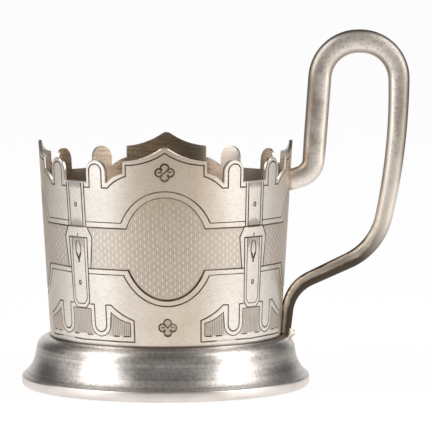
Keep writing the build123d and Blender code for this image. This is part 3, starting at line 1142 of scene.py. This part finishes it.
def make_sleeve():
    clean, warm, dark = (0.9, 0.85, 0.795), (0.73, 0.61, 0.485), (0.42, 0.34, 0.27)
    materials = [
        satin_silver("satin silver", clean, warm, dark, (0.28, 0.36)),
        patina("engraved line", (0.15, 0.1, 0.062), (0.055, 0.035, 0.021)),
        satin_silver("woven ground", (0.63, 0.58, 0.525), (0.67, 0.56, 0.45), dark, (0.42, 0.5), woven=True),
        satin_silver("woven ridge", (0.92, 0.86, 0.79), (0.90, 0.79, 0.665), dark, (0.32, 0.42), woven=True),
        inside_silver("inside of the sleeve", (0.47, 0.385, 0.305), (0.93, 0.7, 0.47), (0.33, 0.26, 0.2),
                      (0.56, 0.53, 0.495), (0.2, 0.28)),
        toned_silver("cut edge", (0.68, 0.63, 0.575), (0.55, 0.48, 0.41), (0.3, 0.42)),
        patina("light stroke", (0.42, 0.35, 0.28), (0.26, 0.21, 0.165)),
        satin_silver("hatched ground", (0.62, 0.57, 0.52), (0.58, 0.485, 0.39), dark, (0.4, 0.5)),
    ]
    points, faces, kinds = sleeve_mesh()
    piece = mesh_object("engraved_sleeve", points, faces, materials, kinds)
    wall_normals(piece.data)
    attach(piece, "root")
    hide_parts("sleeve")


def make_handle():
    bar_points, bar_faces, outer, along = handle_mesh()
    toe_points, toe_faces = toe_mesh()
    points = np.vstack([bar_points, toe_points]) * MM
    faces = bar_faces + [tuple(i + len(bar_points) for i in face) for face in toe_faces]
    bar = handled_silver("handled silver", (0.97, 0.905, 0.83), (0.28, 0.23, 0.187), (0.058, 0.042, 0.028))
    piece = mesh_object("bent_handle", points, faces, [bar])
    for word, values, toe in zip(("outer", "along"), (outer, along), TOE_TONE):
        values = np.append(values, [toe] * len(toe_points))
        piece.data.attributes.new(word, "FLOAT", "POINT").data.foreach_set("value", values)
    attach(piece, "root")
    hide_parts("handle")


def make_foot():
    spun = spun_silver("spun silver", (0.84, 0.805, 0.775), (0.76, 0.715, 0.67), (0.34, 0.4))
    band = toned_silver("foot rim silver", (0.81, 0.755, 0.715), (0.75, 0.685, 0.63), (0.3, 0.42))
    floor = toned_silver("floor silver", (0.5, 0.43, 0.35), (0.34, 0.28, 0.21), (0.35, 0.5))
    dress("foot_skirt", spun)
    dress("floor_disc", floor)
    points, faces = ring_mesh()
    ring = mesh_object("turned_ring", points * MM, faces, [band])
    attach(ring, "root")
    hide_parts("foot_rim")


# Stage: table, room and lamps, in metres

TABLE_SIZE = 80.0
TABLE_GAP = 0.00005
TABLE_GLOW = 0.94
BOX_TURNS = radians(-63), radians(68)
BOX_RISE = radians(27)
BOX_ROLL = radians(13)
BOX_DISTANCE = 1.0
BOX_SIZE = (0.56, 1.2)
BOX_RADIANCE = 3.4
BOX_AIM_Z = 0.05
# What the metal sees of the table, with painted light and shade in its glow: a painted pool of light round
# the foot, a painted shadow towards the camera, and painted places where it is dimmer or warmer, each with
# its reach and its tone
PAINTED_POOL = (0.0, 0.0, 0.0), (0.13, 0.27), (1, 0.99, 0.98)
TABLE_TONE = (0.78, 0.77, 0.76)
PAINTED_SHADOW_FRONT = (0.0, -0.72, 0.0), (0.15, 0.48), (0.22, 0.15, 0.09)
PAINTED_DIM_LEFT = (-0.45, 0.4, 0.0), (0.1, 0.5), (0.35, 0.335, 0.325)
PAINTED_DIM_RIGHT = (0.5, 0.42, 0.0), (0.1, 0.5), (0.45, 0.43, 0.41)
PAINTED_DIM_NEAR_LEFT = (-0.13, 0.09, 0.0), (0.02, 0.11), (0.55, 0.54, 0.53)
PAINTED_DIM_NEAR_RIGHT = (0.13, 0.09, 0.0), (0.02, 0.11), (0.58, 0.57, 0.56)
PAINTED_WARM_RIGHT = (0.28, -0.2, 0.0), (0.05, 0.26), (0.74, 0.63, 0.5)


def make_table():
    """White table that keeps a soft shadow; in reflections it shows painted light and shade, dimmer and
    warmer towards the camera.
    """
    material, tree = new_material("white table", 0.0)
    shader = surface(tree)
    set_inputs(shader, {"Base Color": (0.9, 0.9, 0.9, 1), "Roughness": 0.9, "Specular IOR Level": 0.0})
    place = object_place(tree)
    path = add(tree, "LightPath").outputs
    shown = TABLE_TONE
    # Painted light and shade in the glow that the metal sees: a pool of light, a shadow, and dim and warm
    # patches
    for centre, reach, tone in (PAINTED_POOL, PAINTED_SHADOW_FRONT, PAINTED_DIM_LEFT, PAINTED_DIM_RIGHT, PAINTED_DIM_NEAR_LEFT, PAINTED_DIM_NEAR_RIGHT, PAINTED_WARM_RIGHT):
        gap = add(tree, "VectorMath", {0: place, 1: centre}, operation="DISTANCE").outputs["Value"]
        shown = mixed(ranged(gap, *reach), tone, shown)
    shown = mixed(path["Is Camera Ray"], shown, (1, 1, 1))
    glow = add(tree, "Emission", {"Color": shown}).outputs["Emission"]
    seen = sums("MAXIMUM", path["Is Camera Ray"], path["Is Glossy Ray"])
    seen = sums("MAXIMUM", seen, path["Is Transmission Ray"])
    inputs = {0: times(seen, TABLE_GLOW), 1: shader.outputs["BSDF"], 2: glow}
    both = add(tree, "MixShader", inputs).outputs["Shader"]
    set_inputs(tree.nodes["Material Output"], {"Surface": both})
    corners = np.array([(-1, -1, 0), (1, -1, 0), (1, 1, 0), (-1, 1, 0)]) * TABLE_SIZE / 2
    table = mesh_object("table", corners - (0, 0, TABLE_GAP), [(0, 1, 2, 3)], [material])


def make_room():
    """White behind the object and for the camera; grey at the sides and dim in front and overhead."""
    world = bpy.data.worlds.new("room")
    scene.world = world
    world.use_nodes = True
    tree = world.node_tree
    _, depth, height = split(add(tree, "TexCoord").outputs["Generated"])
    side = times(within(depth, (-0.45, -0.1), (0.15, 0.4)), ranged(height, 0.7, 0.92, 1.0, 0.0))
    ahead = mixed(ranged(height, 0.6, 0.95), (0.09, 0.087, 0.083), (0.22, 0.212, 0.204))
    colour = mixed(side, ahead, (0.62, 0.61, 0.6))
    colour = mixed(ranged(depth, 0.25, 0.5), colour, (0.07, 0.067, 0.064))
    path = add(tree, "LightPath").outputs
    white = sums("MAXIMUM", ranged(depth, 0.72, 0.97), path["Is Camera Ray"])
    colour = mixed(white, colour, (1, 1, 1))
    colour = mixed(path["Is Diffuse Ray"], colour, (0.6, 0.6, 0.6))
    set_inputs(tree.nodes["Background"], {"Color": colour})


def make_softbox(name, turn):
    """Tall soft lamp that leans over the object from one side of the camera."""
    lamp = bpy.data.lights.new(name, "AREA")
    lamp.shape = "RECTANGLE"
    lamp.size, lamp.size_y = BOX_SIZE
    lamp.energy = BOX_RADIANCE * pi * BOX_SIZE[0] * BOX_SIZE[1]
    box = new_object(name, lamp)
    level = BOX_DISTANCE * cos(BOX_RISE)
    box.location = (level * sin(turn), -level * cos(turn), BOX_DISTANCE * sin(BOX_RISE) + BOX_AIM_Z)
    facing = Euler((pi / 2 - BOX_RISE, 0, turn)).to_matrix()
    box.rotation_euler = (facing @ Matrix.Rotation(-copysign(BOX_ROLL, turn), 3, "Z")).to_euler()
    box.visible_camera = False


# Camera, in millimetres, before it is turned round the upright axis
CAMERA_PLACE = (14.0, -958.7, 128.9)
CAMERA_PITCH = radians(4.892)
CAMERA_LENS = 288.67
CAMERA_TURN = radians(-0.4)


def make_camera():
    data = bpy.data.cameras.new("camera")
    data.lens = CAMERA_LENS
    data.sensor_width = 36.0
    data.clip_end = 100.0
    camera = new_object("camera", data)
    x, y, z = CAMERA_PLACE
    cosine, sine = cos(CAMERA_TURN), sin(CAMERA_TURN)
    camera.location = ((x * cosine - y * sine) * MM, (x * sine + y * cosine) * MM, z * MM)
    camera.rotation_euler = (pi / 2 - CAMERA_PITCH, 0, CAMERA_TURN)
    scene.camera = camera


make_sleeve()
make_handle()
make_foot()
make_table()
make_room()
make_softbox("left softbox", BOX_TURNS[0])
make_softbox("right softbox", BOX_TURNS[1])
make_camera()
bpy.context.scene.view_settings.view_transform = "Standard"
